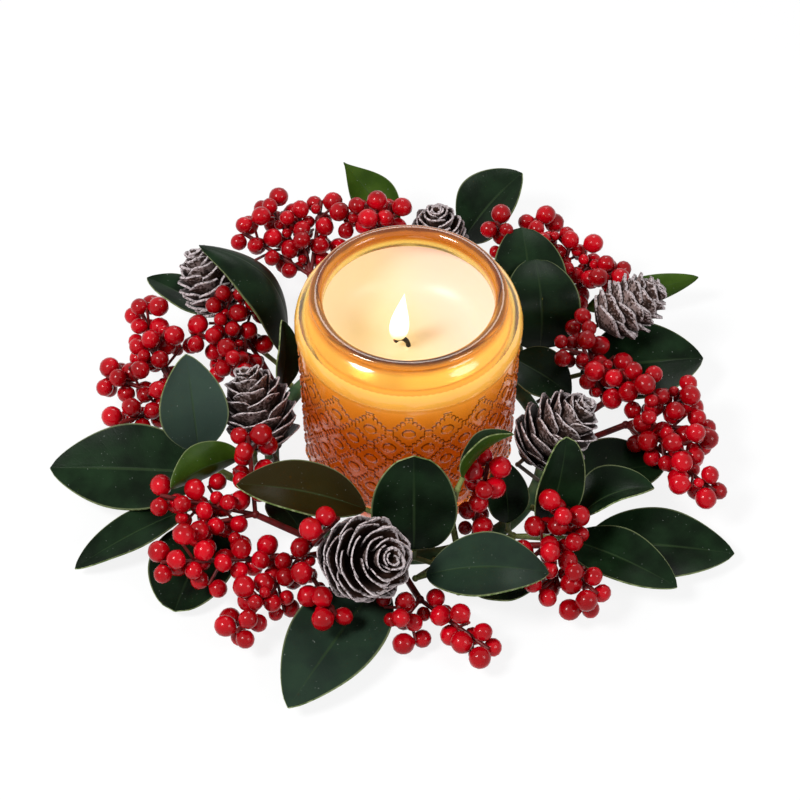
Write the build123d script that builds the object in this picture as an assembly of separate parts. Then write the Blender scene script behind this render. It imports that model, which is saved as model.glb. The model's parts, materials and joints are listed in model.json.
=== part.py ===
from build123d import *
import os
from math import asin, atan2, cos, pi, radians, sin

import numpy as np

os.makedirs("parts", exist_ok=True)

# A candle ring: foliage, berries and pine cones on a taped wire hoop, round a candle in a glass jar.
# Millimetres, +Z up, with the origin on the jar's axis at the surface that everything stands on.

# Candle jar
jar_height = 94.0
jar_shoulder_radius = 44.0
jar_shoulder_low = 76.0
jar_shoulder_band = 3.0
jar_shoulder_bend = 13.0
jar_shoulder_sweep = 52.0
jar_body_top_radius = 42.8
jar_body_low_radius = 41.5
jar_foot_radius = 36.0
jar_foot_height = 5.0
jar_lip_radius = 38.0
jar_lip_height = 4.0
jar_neck_radius = 37.2
jar_wall = 3.2
jar_floor = 6.0
jar_mouth_radius = 32.8
jar_mouth_depth = 8.0
jar_lip_round = 3.0
jar_bead = 2.0
jar_bore_rise = 6.0
jar_floor_round = 2.0

# Wax fill, wick and wick tab
wax_gap = 0.1
wax_pool_height = 63.5
wax_pool_radius = 22.0
wax_edge_height = 82.0
wax_edge_thickness = 0.9
wax_dish_bend = 3.5
wax_dish_rise = 6.0
wick_radius = 0.9
wick_gap = 0.1
wick_stand = 2.2
wick_curl_radius = 3.0
wick_curl_angle = 120.0
wick_curl_azimuth = 180.0
tab_radius = 9.0
tab_thickness = 0.5
tab_collar_radius = 1.8
tab_collar_height = 5.0

# Hoop: a wire wound with tape, with a flat underside
hoop_radius = 56.0
hoop_tape_radius = 3.0
hoop_wire_radius = 1.2
hoop_wire_gap = 0.05
hoop_flat = 0.4
hoop_seat_gap = 0.1
peg_length = 2.5
peg_lift = 20.0

# Leaves
leaf_thickness = 0.6
leaf_stalk_share = 0.06
leaf_fullness = 0.75
leaf_widest = 0.9
leaf_stations = (0.0, 0.07, 0.2, 0.4, 0.6, 0.78, 0.92, 1.0)
leaf_stem_radius = 1.3
leaf_stalk_radius = 1.0
leaf_stalk_end = 5.0
knot_share = 1.3

# Berries
berry_radii = (3.8, 3.1, 2.4)
berry_spread = 0.4
berry_tip_radius = 4.6
berry_side_tip_radius = 3.6
berry_step = 0.7
berry_turn = 137.5
berry_size_wave = 2.4
berry_gap = 0.08
berry_bare_twig = 5.0
berry_room = 0.12
twig_radius = 0.9
twig_stem_radius = 1.3
side_twig_radius = 0.6
side_twig_length = 11.0
side_twig_lean = 58.0
side_twig_shares = (0.36, 0.56, 0.76)
side_twig_room = 0.7

# Pine cones
cone_length = 37.0
cone_radius = 14.0
cone_core_share = 0.62
cone_scale_count = 30
cone_scale_radius = 6.0
cone_scale_thickness = 1.5
cone_scale_turn = 137.5
cone_base_phase = 0.14
cone_phase_span = 0.76
cone_swell = 0.85
cone_fullness = 0.6
cone_first_scale = 0.07
cone_scale_span = 0.82
cone_core_waist = 0.4
cone_core_top = 0.96
cone_core_tip_radius = 1.0
cone_low_tilt = -12.0
cone_high_tilt = 62.0
cone_wire_radius = 0.8
cone_wire_end = 5.0
cone_wire_gap = 0.2

# How near anything on the ring may come to the jar, and to the surface it stands on
jar_room = 1.2
floor_room = 0.4

# How closely the pieces are sampled when the berries look for room
leaf_samples = (26, 17)
cone_samples = 16

hoop_height = hoop_tape_radius - hoop_flat

# A place on the ring is (azimuth in degrees, distance outside the hoop, height).
# Leaf sprigs: where the stem leaves the hoop, where it forks, and each leaf as
# (stalk end, tip, width, rise of the midrib over its chord, roll about the chord, cup of the blade).
leaf_sprigs = {
    "back": (90, (90, 10, 6), (
        ((92, 53, 20), (102, 79, 40), 20, 3, 140, 3),
        ((78, 65, 6), (69, 85, 34), 34, 3, 0, 3),
        ((97, 9, 9), (104, 30, 36), 28, 4, 0, 3),
        ((84, 10, 9), (76, 31, 34), 28, 4, 0, 3),
    )),
    "right_back": (43, (42, 9, 7), (
        ((50, 20, 8), (62, 47, 40), 33, 12, 10, 2),
        ((40, 17, 12), (54, 35, 38), 32, 13, 0, 2),
        ((37, -2, 22), (14, 13, 16), 22, 3, 15, 2),
    )),
    "right": (32, (30, 14, 6), (
        ((42, 47, 13), (33, 93, 20), 13, 2, 228, 3),
        ((24, 23, 12), (17, 73, 16), 38, 3, 10, 3),
    )),
    "right_front": (-33, (-33, 8, 7), (
        ((-24, 10, 9), (-9, 49, 12), 31, 3, 0, 3),
        ((-36, 26, 18), (-23, 48, 27), 24, 5, -15, 5),
        ((-42, 17, 16), (-32, 15, 54), 19, 3, 40, 3),
    )),
    "front_right": (-53, (-50, 8, 7), (
        ((-36, 30, 6), (-24.3, 84, 7), 31, 2, 10, 2),
        ((-41, 25, 11), (-37, 73, 12), 25, 3, 0, 2),
        ((-51, 6, 15), (-44, -7, 37), 17, 4, 0, 2),
    )),
    "front": (-80, (-80, 8, 7), (
        ((-85, 22, 20), (-57, 41, 26), 30, 5, 0, 2),
        ((-88, 4, 13), (-88, -4, 60), 33, 1, 0, 2),
        ((-72, 22, 6), (-56, 31, 5), 18, 2, 0, 2),
    )),
    "jar_side": (-71, (-71, -5, 18), (
        ((-69, 1, 49), (-48, 3, 63), 15, 3, -45, 5),
    )),
    "front_left": (-103, (-103, 8, 7), (
        ((-108, -2, 27), (-145, 25, 36), 26, 4, 0, 3),
        ((-99, 14, 5), (-109, 81, 8), 36, 2, 0, 3),
    )),
    "left": (-158, (-158, 9, 6), (
        ((-157, 15, 31), (-153, 47, 35), 18, 3, 100, 4),
        ((-165, 28, 13), (-172, 89, 14), 38, 2, -15, 2),
        ((-158, 39, 7), (-154, 89, 5), 18, 3, 0, 2),
        ((-152, 34, 4), (-137, 67, 5), 34, 1, 0, 2),
        ((-167, 29.6, 24), (-178, 30.6, 63), 27, 3, 0, 3),
        ((-152, 6, 8), (-131, 7, 6), 16, 2, 0, 2),
    )),
    "left_back": (146, (143, 8, 7), (
        ((139, 53, 6), (142, 88, 12), 17, 2, 0, 2),
        ((140, 12, 12), (143, 52, 55), 34, 16, 30, -7),
        ((163, 0, 17), (150, 3, 48), 14, 3, 60, 2),
    )),
}

# Berry sprays: where the stem leaves the hoop, where it forks, and the ends of its twigs.
berry_sprays = {
    "back_left": (118, (116, 40, 16), ((125, 69, 26), (117, 79, 28), (113, 66, 30), (108, 66, 32))),
    "back": (101, (98, 36, 14), ((100, 47, 44), (94, 48, 42), (97, 58, 30))),
    "back_right": (55, (51, 46, 12), (
        (68, 44, 42), (62, 61, 34), (53, 62, 32), (40, 62, 30), (43, 48, 18), (47, 62, 24))),
    "left_back": (152, (148, 17, 14), ((147, 39, 40), (157, 38, 32), (162, 25, 30), (150, 30, 38))),
    "left": (172, (170, 39, 14), ((154, 69, 28), (170, 70, 22), (181, 61, 20), (162, 58, 30))),
    "left_front": (-120, (-142, 20, 18), ((-154, 51, 30), (-154, 13, 46), (-147, 44, 20))),
    "front_left": (-117, (-123, 21, 14), ((-141, 65, 26), (-123, 63, 14), (-106, 44, 20), (-112, 15, 40))),
    "front": (-94, (-87, 26, 10), ((-92, 40, 14), (-74, 53, 10))),
    "jar_side": (-63, (-65, 3, 10), ((-55, -3, 46),)),
    "front_right": (-58, (-49, 25, 17), ((-41, 26, 31), (-50, 55, 18), (-56, 30, 24), (-54, 42, 14))),
    "right": (-3, (-1, 32, 19), ((5, 58, 22), (-3, 65, 22), (-13, 58, 29), (-17, 70, 20))),
    "right_back": (5, (8, 25, 18), ((31, 28, 32), (4, 40, 40), (23, 20, 37))),
}

# Pine cones: where the wire leaves the hoop, the middle of the cone's base, its tip end, its size.
pine_cones = {
    "left_back": (131, (143, 41, 22), (142, 58, 48), 0.85),
    "back": (82, (82, 43, 12), (83, 45, 40), 0.85),
    "right_back": (24, (29, 35, 30), (27, 60, 42), 0.85),
    "right": (-22, (-30, -2.5, 29), (-20, 11, 48), 1.0),
    "front": (-112, (-110, 17, 18), (-96, 30, 41), 1.1),
    "left": (-169, (-165, 0.6, 20), (-181, 9.6, 54), 1.0),
}


def place(azimuth, out, up):
    reach = hoop_radius + out
    return Vector(reach * cos(radians(azimuth)), reach * sin(radians(azimuth)), up)


def from_hoop(azimuth):
    out, up = cos(radians(peg_lift)), sin(radians(peg_lift))
    seat = hoop_tape_radius + hoop_seat_gap
    heel = seat + peg_length
    return [place(azimuth, length * out, hoop_height + length * up) for length in (seat, heel)]


# Candle in its jar

def jar_outline():
    outside = Polyline(
        (0, 0),
        (jar_foot_radius, 0),
        (jar_body_low_radius, jar_foot_height),
        (jar_body_top_radius, jar_shoulder_low - jar_bead),
        (jar_shoulder_radius, jar_shoulder_low),
        (jar_shoulder_radius, jar_shoulder_low + jar_shoulder_band),
    )
    shoulder = JernArc(outside @ 1, (0, 1), jar_shoulder_bend, jar_shoulder_sweep)
    neck = Line(shoulder @ 1, (jar_neck_radius, jar_height - jar_lip_height))
    lip = ThreePointArc(
        (jar_neck_radius, jar_height - jar_lip_height),
        (jar_lip_radius, jar_height - jar_lip_height / 2),
        (jar_mouth_radius + jar_lip_round, jar_height),
    )
    top = Line((jar_mouth_radius + jar_lip_round, jar_height), (jar_mouth_radius, jar_height - jar_lip_round))
    inside = Polyline(*cavity_points())
    return [outside, shoulder, neck, lip, top, inside, Line((0, jar_floor), (0, 0))]


def cavity_points():
    bore = jar_body_low_radius - jar_wall
    return (
        (jar_mouth_radius, jar_height - jar_lip_round),
        (jar_mouth_radius, jar_height - jar_mouth_depth),
        (bore, jar_shoulder_low + jar_bore_rise),
        (bore, jar_floor + jar_floor_round),
        (bore - jar_floor_round, jar_floor),
        (0, jar_floor),
    )


def revolved(edges):
    return revolve(Plane.XZ * make_face(edges), Axis.Z)


def candle_jar():
    return revolved(jar_outline())


def wax_body():
    bore = jar_body_low_radius - jar_wall - wax_gap
    edge_low = bore - wax_edge_thickness
    side = Polyline(
        (0, jar_floor),
        (bore - jar_floor_round, jar_floor),
        (bore, jar_floor + jar_floor_round),
        (bore, wax_edge_height),
        (edge_low, wax_edge_height),
    )
    dish = ThreePointArc(
        (edge_low, wax_edge_height),
        (edge_low - wax_dish_bend, wax_pool_height + wax_dish_rise),
        (wax_pool_radius, wax_pool_height),
    )
    pool = Polyline((wax_pool_radius, wax_pool_height), (0, wax_pool_height), (0, jar_floor))
    return revolved([side, dish, pool])


def candle_wax():
    tab = Pos(0, 0, jar_floor) * Cylinder(
        tab_radius + wax_gap, tab_thickness + wax_gap, align=(Align.CENTER, Align.CENTER, Align.MIN))
    collar = Pos(0, 0, jar_floor) * Cylinder(
        tab_collar_radius + wax_gap,
        tab_collar_height + wax_gap,
        align=(Align.CENTER, Align.CENTER, Align.MIN),
    )
    bore = Cylinder(wick_radius + wick_gap, jar_height, align=(Align.CENTER, Align.CENTER, Align.MIN))
    return wax_body() - tab - collar - bore


def wick_tab():
    plate = Pos(0, 0, jar_floor) * Cylinder(
        tab_radius, tab_thickness, align=(Align.CENTER, Align.CENTER, Align.MIN))
    collar = Pos(0, 0, jar_floor) * Cylinder(
        tab_collar_radius, tab_collar_height, align=(Align.CENTER, Align.CENTER, Align.MIN))
    bore = Pos(0, 0, jar_floor + tab_thickness) * Cylinder(
        wick_radius + wick_gap, tab_collar_height, align=(Align.CENTER, Align.CENTER, Align.MIN))
    return plate + collar - bore


def wick():
    start = jar_floor + tab_thickness
    top = wax_pool_height + wick_stand
    straight = Line((0, 0, start), (0, 0, top))
    curl = CenterArc((wick_curl_radius, 0), wick_curl_radius, 180, -wick_curl_angle)
    bend = Plane(origin=(0, 0, top), x_dir=(1, 0, 0), z_dir=(0, -1, 0)) * curl
    path = Wire([straight, Rotation(0, 0, wick_curl_azimuth) * bend])
    return sweep(Plane(origin=(0, 0, start)) * Circle(wick_radius), path)


# Hoop

def hoop_ring(radius):
    return Pos(0, 0, hoop_height) * Torus(hoop_radius, radius)


def hoop_tape():
    below = Pos(0, 0, -hoop_tape_radius) * Cylinder(
        hoop_radius + 2 * hoop_tape_radius, hoop_tape_radius, align=(Align.CENTER, Align.CENTER, Align.MIN))
    return hoop_ring(hoop_tape_radius) - below - hoop_ring(hoop_wire_radius + hoop_wire_gap)


# Leaves

def leaf_curve(leaf):
    base, tip = place(*leaf[0]), place(*leaf[1])
    rise, roll = leaf[3], leaf[4]
    chord = (tip - base).normalized()
    heading, pitch = atan2(chord.Y, chord.X), asin(chord.Z)
    face = Vector(-sin(pitch) * cos(heading), -sin(pitch) * sin(heading), cos(pitch))
    face = face.rotate(Axis((0, 0, 0), chord), roll)
    crest = (base + tip) * 0.5 + face * (2 * rise)
    return base, crest, tip, face.cross(chord)


def leaf_frame(curve, u):
    base, crest, tip, side = curve
    point = base * (1 - u) ** 2 + crest * (2 * u * (1 - u)) + tip * u ** 2
    along = ((crest - base) * (1 - u) + (tip - crest) * u).normalized()
    return point, along, side, along.cross(side)


def leaf_breadth(u):
    return max(leaf_stalk_share, sin(pi * u ** leaf_widest) ** leaf_fullness if 0 < u < 1 else 0)


def leaf_section(leaf, curve, u):
    point, along, side, face = leaf_frame(curve, u)
    half = leaf_breadth(u) * leaf[2] / 2
    edge = leaf_breadth(u) * leaf[5]
    plane = Plane(origin=point, x_dir=side, z_dir=along)
    low, high = -leaf_thickness / 2, leaf_thickness / 2
    outline = [
        ThreePointArc((-half, edge + high), (0, high), (half, edge + high)),
        Line((half, edge + high), (half, edge + low)),
        ThreePointArc((half, edge + low), (0, low), (-half, edge + low)),
        Line((-half, edge + low), (-half, edge + high)),
    ]
    return plane * make_face(outline)


def leaf_solid(leaf):
    curve = leaf_curve(leaf)
    return loft([leaf_section(leaf, curve, u) for u in leaf_stations])


def leaf_points(leaf, along_count=leaf_samples[0], across_count=leaf_samples[1]):
    curve = leaf_curve(leaf)
    points = []
    for u in np.linspace(0, 1, along_count):
        point, along, side, face = leaf_frame(curve, u)
        half = leaf_breadth(u) * leaf[2] / 2
        for v in np.linspace(-1, 1, across_count):
            points.append(point + side * (half * v) + face * (leaf_breadth(u) * leaf[5] * v * v))
    return points


# Stems, twigs and wires: straight lengths with a knot at each bend

def knot(before, corner, radius):
    return Solid.make_sphere(knot_share * radius, Plane(origin=corner, z_dir=corner - before), -90, 90, 360)


def rod(points, radius):
    lengths = [
        Solid.make_cylinder(radius, (end - start).length, Plane(origin=start, z_dir=end - start))
        for start, end in zip(points, points[1:])
    ]
    return lengths + [knot(before, corner, radius) for before, corner in zip(points, points[1:-1])]


def fused(pieces):
    return pieces[0].fuse(*pieces[1:])


def stalk_route(fork, leaf):
    point, along, side, face = leaf_frame(leaf_curve(leaf), 0)
    return [fork, point - along * leaf_stalk_end, point]


def leaf_stem_routes(sprig):
    azimuth, fork, leaves = sprig
    fork = place(*fork)
    routes = [(from_hoop(azimuth) + [fork], leaf_stem_radius)]
    return routes + [(stalk_route(fork, leaf), leaf_stalk_radius) for leaf in leaves]


def twig_routes(spray):
    azimuth, fork, ends = spray
    fork = place(*fork)
    routes = [(from_hoop(azimuth) + [fork], twig_stem_radius)]
    return routes + [([fork, place(*end)], twig_radius) for end in ends]


def side_twigs(spray, space):
    fork, sides = place(*spray[1]), []
    for number, end in enumerate(spray[2]):
        end = place(*end)
        along = (end - fork).normalized()
        across = along.cross(Vector(0, 0, 1)).normalized()
        for place_number, share in enumerate(side_twig_shares):
            start = fork + (end - fork) * share
            out = across.rotate(Axis((0, 0, 0), along), berry_turn * (place_number + number))
            lean = along * cos(radians(side_twig_lean)) + out * sin(radians(side_twig_lean))
            route = [start, start + lean * side_twig_length]
            clear = along_route([start + lean * side_twig_length / 4, route[1]])
            if all(space.has_room(spot, side_twig_radius + side_twig_room) for spot in clear):
                sides.append((route, side_twig_radius))
    for points, radius in sides:
        space.fill(along_route(points), radius - berry_room)
    return sides


def branched(routes):
    (peg, heel, fork), thick = routes[0]
    pieces = [knot(heel, fork, thick)]
    for points, radius in routes:
        pieces += rod(points, radius)
    return fused(pieces)


# Pine cones, built upright on their base

def cone_outline(share):
    return cone_radius * sin(pi * (cone_base_phase + cone_phase_span * share ** cone_swell)) ** cone_fullness


def pine_cone_solid():
    low = (cone_core_share * cone_outline(0), 0)
    wide = (cone_core_share * cone_outline(cone_core_waist), cone_core_waist * cone_length)
    top = (cone_core_tip_radius, cone_core_top * cone_length)
    side = ThreePointArc(low, wide, top)
    ends = Polyline(top, (0, cone_core_top * cone_length), (0, 0), low)
    pieces = [revolved([side, ends])]
    for number in range(cone_scale_count):
        share = number / (cone_scale_count - 1)
        tilt = cone_low_tilt + (cone_high_tilt - cone_low_tilt) * share
        height = cone_length * (cone_first_scale + cone_scale_span * share)
        reach = cone_outline(share) - cone_scale_radius * cos(radians(tilt))
        plate = Cylinder(cone_scale_radius, cone_scale_thickness)
        turned = Rotation(0, 0, cone_scale_turn * number) * Pos(reach, 0, height) * Rotation(0, -tilt, 0)
        pieces.append(turned * plate)
    return fused(pieces)


def cone_plane(cone):
    base, tip = place(*cone[1]), place(*cone[2])
    return Plane(origin=base, z_dir=tip - base)


def cone_wire_route(cone):
    plane = cone_plane(cone)
    turn = plane.origin - plane.z_dir * cone_wire_end
    return from_hoop(cone[0]) + [turn, plane.origin - plane.z_dir * cone_wire_gap]


# Berries: one at the end of each twig and a spiral of them down it, wherever there is room

class Space:
    def __init__(self):
        self.centres = np.empty((0, 3))
        self.radii = np.empty(0)

    def fill(self, points, radius):
        self.centres = np.vstack([self.centres] + [tuple(point) for point in points])
        self.radii = np.append(self.radii, np.full(len(points), radius))

    def has_room(self, centre, radius):
        if np.hypot(centre.X, centre.Y) - radius < jar_shoulder_radius + jar_room:
            return False
        if centre.Z - radius < floor_room:
            return False
        apart = np.linalg.norm(self.centres - np.array(tuple(centre)), axis=1)
        return bool(np.all(apart > self.radii + radius + berry_room))


def along_route(points, step=1.0):
    spots = []
    for start, end in zip(points, points[1:]):
        count = int((end - start).length / step) + 2
        spots += [start + (end - start) * share for share in np.linspace(0, 1, count)]
    return spots


def twig_berries(start, end, twig, space):
    along = (end - start).normalized()
    across = along.cross(Vector(0, 0, 1)).normalized()
    length = (end - start).length
    tip_radius = berry_tip_radius if twig == twig_radius else berry_side_tip_radius
    wanted = [(end + along * (tip_radius + berry_gap), tip_radius)]
    for middling in berry_radii:
        for number in range(int((length - berry_bare_twig) / berry_step) + 1):
            radius = middling + berry_spread * cos(berry_size_wave * number)
            off = across.rotate(Axis((0, 0, 0), along), berry_turn * number)
            spot = end - along * (berry_step * number)
            wanted.append((spot + off * (twig + radius + berry_gap), radius))
    placed = []
    for centre, radius in wanted:
        if space.has_room(centre, radius):
            space.fill([centre], radius)
            placed.append(Pos(*centre) * Sphere(radius))
    return placed


def ring_space():
    space = Space()
    for sprig in leaf_sprigs.values():
        for leaf in sprig[2]:
            space.fill(leaf_points(leaf), leaf_thickness)
        for points, radius in leaf_stem_routes(sprig):
            space.fill(along_route(points), knot_share * radius)
    for cone in pine_cones.values():
        plane, size = cone_plane(cone), cone[3]
        for share in np.linspace(0, 1, cone_samples):
            middle = plane.origin + plane.z_dir * (share * cone_length * size)
            space.fill([middle], cone_outline(share) * size)
        space.fill(along_route(cone_wire_route(cone)), cone_wire_radius)
    for spray in berry_sprays.values():
        for points, radius in twig_routes(spray):
            space.fill(along_route(points), radius - berry_room)
    return space


def save(node, shapes):
    export_step(shapes[0] if len(shapes) == 1 else Compound(children=shapes), f"parts/{node}.step")


save("candle_jar", [candle_jar()])
save("candle_wax", [candle_wax()])
save("wick", [wick()])
save("wick_tab", [wick_tab()])
save("hoop_wire", [hoop_ring(hoop_wire_radius)])
save("hoop_tape", [hoop_tape()])

for name, sprig in leaf_sprigs.items():
    save(f"leaves_{name}", [leaf_solid(leaf) for leaf in sprig[2]])
    save(f"leaf_stems_{name}", [branched(leaf_stem_routes(sprig))])

whole_cone = pine_cone_solid()
for name, cone in pine_cones.items():
    save(f"pine_cone_{name}", [cone_plane(cone) * scale(whole_cone, cone[3])])
save("cone_wires", [fused(rod(cone_wire_route(cone), cone_wire_radius)) for cone in pine_cones.values()])

space = ring_space()
sides = {name: side_twigs(spray, space) for name, spray in berry_sprays.items()}
for name, spray in berry_sprays.items():
    routes = twig_routes(spray) + sides[name]
    save(f"berry_twigs_{name}", [branched(routes)])
    berries = []
    for points, radius in routes[1:]:
        berries += twig_berries(points[0], points[1], radius, space)
    save(f"berries_{name}", berries)
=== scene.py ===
import json
import math

import bmesh
import bpy
import numpy as np
from mathutils import Matrix, Vector
from mathutils.kdtree import KDTree

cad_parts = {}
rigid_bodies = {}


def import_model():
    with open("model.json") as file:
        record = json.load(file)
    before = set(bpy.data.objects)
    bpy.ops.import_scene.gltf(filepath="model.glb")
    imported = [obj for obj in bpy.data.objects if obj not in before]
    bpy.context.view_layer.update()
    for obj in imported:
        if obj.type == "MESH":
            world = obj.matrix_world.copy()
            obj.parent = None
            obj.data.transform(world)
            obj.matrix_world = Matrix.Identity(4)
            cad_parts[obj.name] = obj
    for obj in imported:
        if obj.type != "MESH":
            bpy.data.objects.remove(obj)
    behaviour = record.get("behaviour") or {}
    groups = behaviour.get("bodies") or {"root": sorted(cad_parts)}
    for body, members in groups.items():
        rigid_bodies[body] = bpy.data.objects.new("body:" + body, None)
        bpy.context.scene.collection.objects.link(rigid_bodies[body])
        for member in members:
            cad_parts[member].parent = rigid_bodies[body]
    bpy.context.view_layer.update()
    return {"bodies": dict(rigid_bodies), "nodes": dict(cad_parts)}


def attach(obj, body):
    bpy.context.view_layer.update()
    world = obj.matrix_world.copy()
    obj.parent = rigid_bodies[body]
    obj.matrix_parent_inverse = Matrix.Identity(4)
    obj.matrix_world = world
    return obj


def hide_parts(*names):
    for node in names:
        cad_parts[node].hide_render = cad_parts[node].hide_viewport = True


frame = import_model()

nodes = frame["nodes"]
mm = 0.001
goldenTurn = math.radians(137.5)
hoopRadius = 56 * mm
print("frame loaded,", len(nodes), "nodes")


# small helpers for modelling by operator

def clearSelection():
    if bpy.context.mode != "OBJECT":
        bpy.ops.object.mode_set(mode="OBJECT")
    bpy.ops.object.select_all(action="DESELECT")


def takeNew(name):
    piece = bpy.context.object
    piece.name = piece.data.name = name
    return piece


def selectOnly(piece):
    clearSelection()
    bpy.context.view_layer.objects.active = piece
    piece.select_set(True)


def edit(piece):
    selectOnly(piece)
    bpy.ops.object.mode_set(mode="EDIT")
    bpy.ops.mesh.select_mode(type="VERT")
    bpy.ops.mesh.select_all(action="DESELECT")


def pick(piece, test):
    mesh = bmesh.from_edit_mesh(piece.data)
    for vert in mesh.verts:
        vert.select_set(test(vert.co))
    mesh.select_flush(True)
    bmesh.update_edit_mesh(piece.data)


def finishModifier(piece, kind, **settings):
    selectOnly(piece)
    modifier = piece.modifiers.new(kind.lower(), kind)
    for key, value in settings.items():
        setattr(modifier, key, value)
    bpy.ops.object.modifier_apply(modifier=modifier.name)


def smooth(piece, angle=None):
    selectOnly(piece)
    if angle is None:
        bpy.ops.object.shade_smooth()
    else:
        bpy.ops.object.shade_smooth_by_angle(angle=math.radians(angle))


def joined(pieces, name):
    clearSelection()
    for piece in pieces:
        piece.select_set(True)
    bpy.context.view_layer.objects.active = pieces[0]
    if len(pieces) > 1:
        bpy.ops.object.join()
    return takeNew(name)


def copyOf(model, place):
    piece = model.copy()
    piece.data = model.data.copy()
    piece.data.transform(place)
    bpy.context.scene.collection.objects.link(piece)
    return piece


def remove(piece):
    bpy.data.objects.remove(piece)


def settle(piece, body, slot, *stood):
    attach(piece, body)
    if stood:
        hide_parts(*stood)


# degrees round the hoop, millimetres out from it and up from the table
def spot(azimuth, out, up):
    reach = hoopRadius + out * mm
    turn = math.radians(azimuth)
    return Vector((reach * math.cos(turn), reach * math.sin(turn), up * mm))


def setFinish(piece, *finishes):
    piece.data.materials.clear()
    for finish in finishes:
        piece.data.materials.append(finish)


def paint(piece, name, values):   # one number for each point, read back by Bench.painted
    layer = piece.data.attributes.new(name, "FLOAT", "POINT")
    layer.data.foreach_set("value", values)


def linked(name, data, at, turn=(0, 0, 0)):   # a lamp, a camera or a curve
    holder = bpy.data.objects.new(name, data)
    holder.location, holder.rotation_euler = at, turn
    bpy.context.scene.collection.objects.link(holder)
    return holder


# sockets that take part in plain arithmetic, and the one place where nodes are made

class Sock:
    def __init__(self, bench, socket):
        self.bench, self.socket = bench, socket

    def math(self, operation, *values):
        return self.bench.make("ShaderNodeMath", {"operation": operation}, dict(enumerate(values)))

    def __add__(self, other):
        return self.math("ADD", self, other)

    def __sub__(self, other):
        return self.math("SUBTRACT", self, other)

    def __rsub__(self, other):
        return self.math("SUBTRACT", other, self)

    def __mul__(self, other):
        return self.math("MULTIPLY", self, other)

    def __pow__(self, other):
        return self.math("POWER", self, other)

    __radd__, __rmul__ = __add__, __mul__

    def size(self):
        return self.math("ABSOLUTE", self)

    def wave(self):
        return self.math("SINE", self)

    def atMost(self, other):
        return self.math("MINIMUM", self, other)

    def step(self, low, high):
        values = {"Value": self, "From Min": low, "From Max": high}
        return self.bench.make("ShaderNodeMapRange", {"interpolation_type": "SMOOTHSTEP"}, values)

    def twin(self, name):   # another output of the same node
        return Sock(self.bench, self.socket.node.outputs[name])


class Bench:
    words = {"colour": "Base Color", "rough": "Roughness", "metal": "Metallic", "coat": "Coat Weight",
             "coatRough": "Coat Roughness", "normal": "Normal", "glow": "Emission Color",
             "glowPower": "Emission Strength", "through": "Transmission Weight", "index": "IOR",
             "shine": "Specular IOR Level", "soak": "Subsurface Weight", "soakReach": "Subsurface Radius",
             "soakScale": "Subsurface Scale", "alpha": "Alpha"}

    def __init__(self, owner):
        owner.use_nodes = True
        self.owner, self.tree = owner, owner.node_tree
        self.tree.nodes.clear()

    def make(self, kind, settings=None, values=None, out=0):
        node = self.tree.nodes.new(kind)
        for key, value in (settings or {}).items():
            setattr(node, key, value)
        for key, value in (values or {}).items():
            if isinstance(value, Sock):
                self.tree.links.new(value.socket, node.inputs[key])
            else:
                plain = node.inputs[key]
                plain.default_value = (*value, 1) if plain.type == "RGBA" and len(value) == 3 else value
        if not node.outputs:
            return self.owner
        return Sock(self, node.outputs[out])

    def place(self):
        return self.make("ShaderNodeTexCoord", out="Object")

    def split(self, point):   # the three coordinates of a point
        first = self.make("ShaderNodeSeparateXYZ", None, {0: point})
        return first, first.twin("Y"), first.twin("Z")

    def uv(self, name):
        return self.split(self.make("ShaderNodeUVMap", {"uv_map": name}))[:2]

    def painted(self, name):
        return self.make("ShaderNodeAttribute", {"attribute_name": name}, None, "Fac")

    def noise(self, scale, detail=3.0):
        values = {"Vector": self.place(), "Scale": scale, "Detail": detail}
        return self.make("ShaderNodeTexNoise", None, values, "Fac")

    def mix(self, share, first, second):
        return self.make("ShaderNodeMix", {"data_type": "RGBA"}, {0: share, 6: first, 7: second}, 2)

    def bump(self, height, strength, distance=0.0005):
        inputs = {"Height": height, "Strength": strength, "Distance": distance}
        return self.make("ShaderNodeBump", None, inputs)

    def shader(self, **values):
        named = {self.words[key]: value for key, value in values.items()}
        return self.make("ShaderNodeBsdfPrincipled", None, named)

    def blended(self, share, first, second):
        return self.make("ShaderNodeMixShader", None, {0: share, 1: first, 2: second})

    def output(self, shader, kind="ShaderNodeOutputMaterial"):
        return self.make(kind, None, {"Surface": shader})

    def surface(self, **values):
        return self.output(self.shader(**values))


def newBench(name):
    return Bench(bpy.data.materials.new(name))


# leaves: the same layout as the solids, in millimetres and degrees

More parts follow.
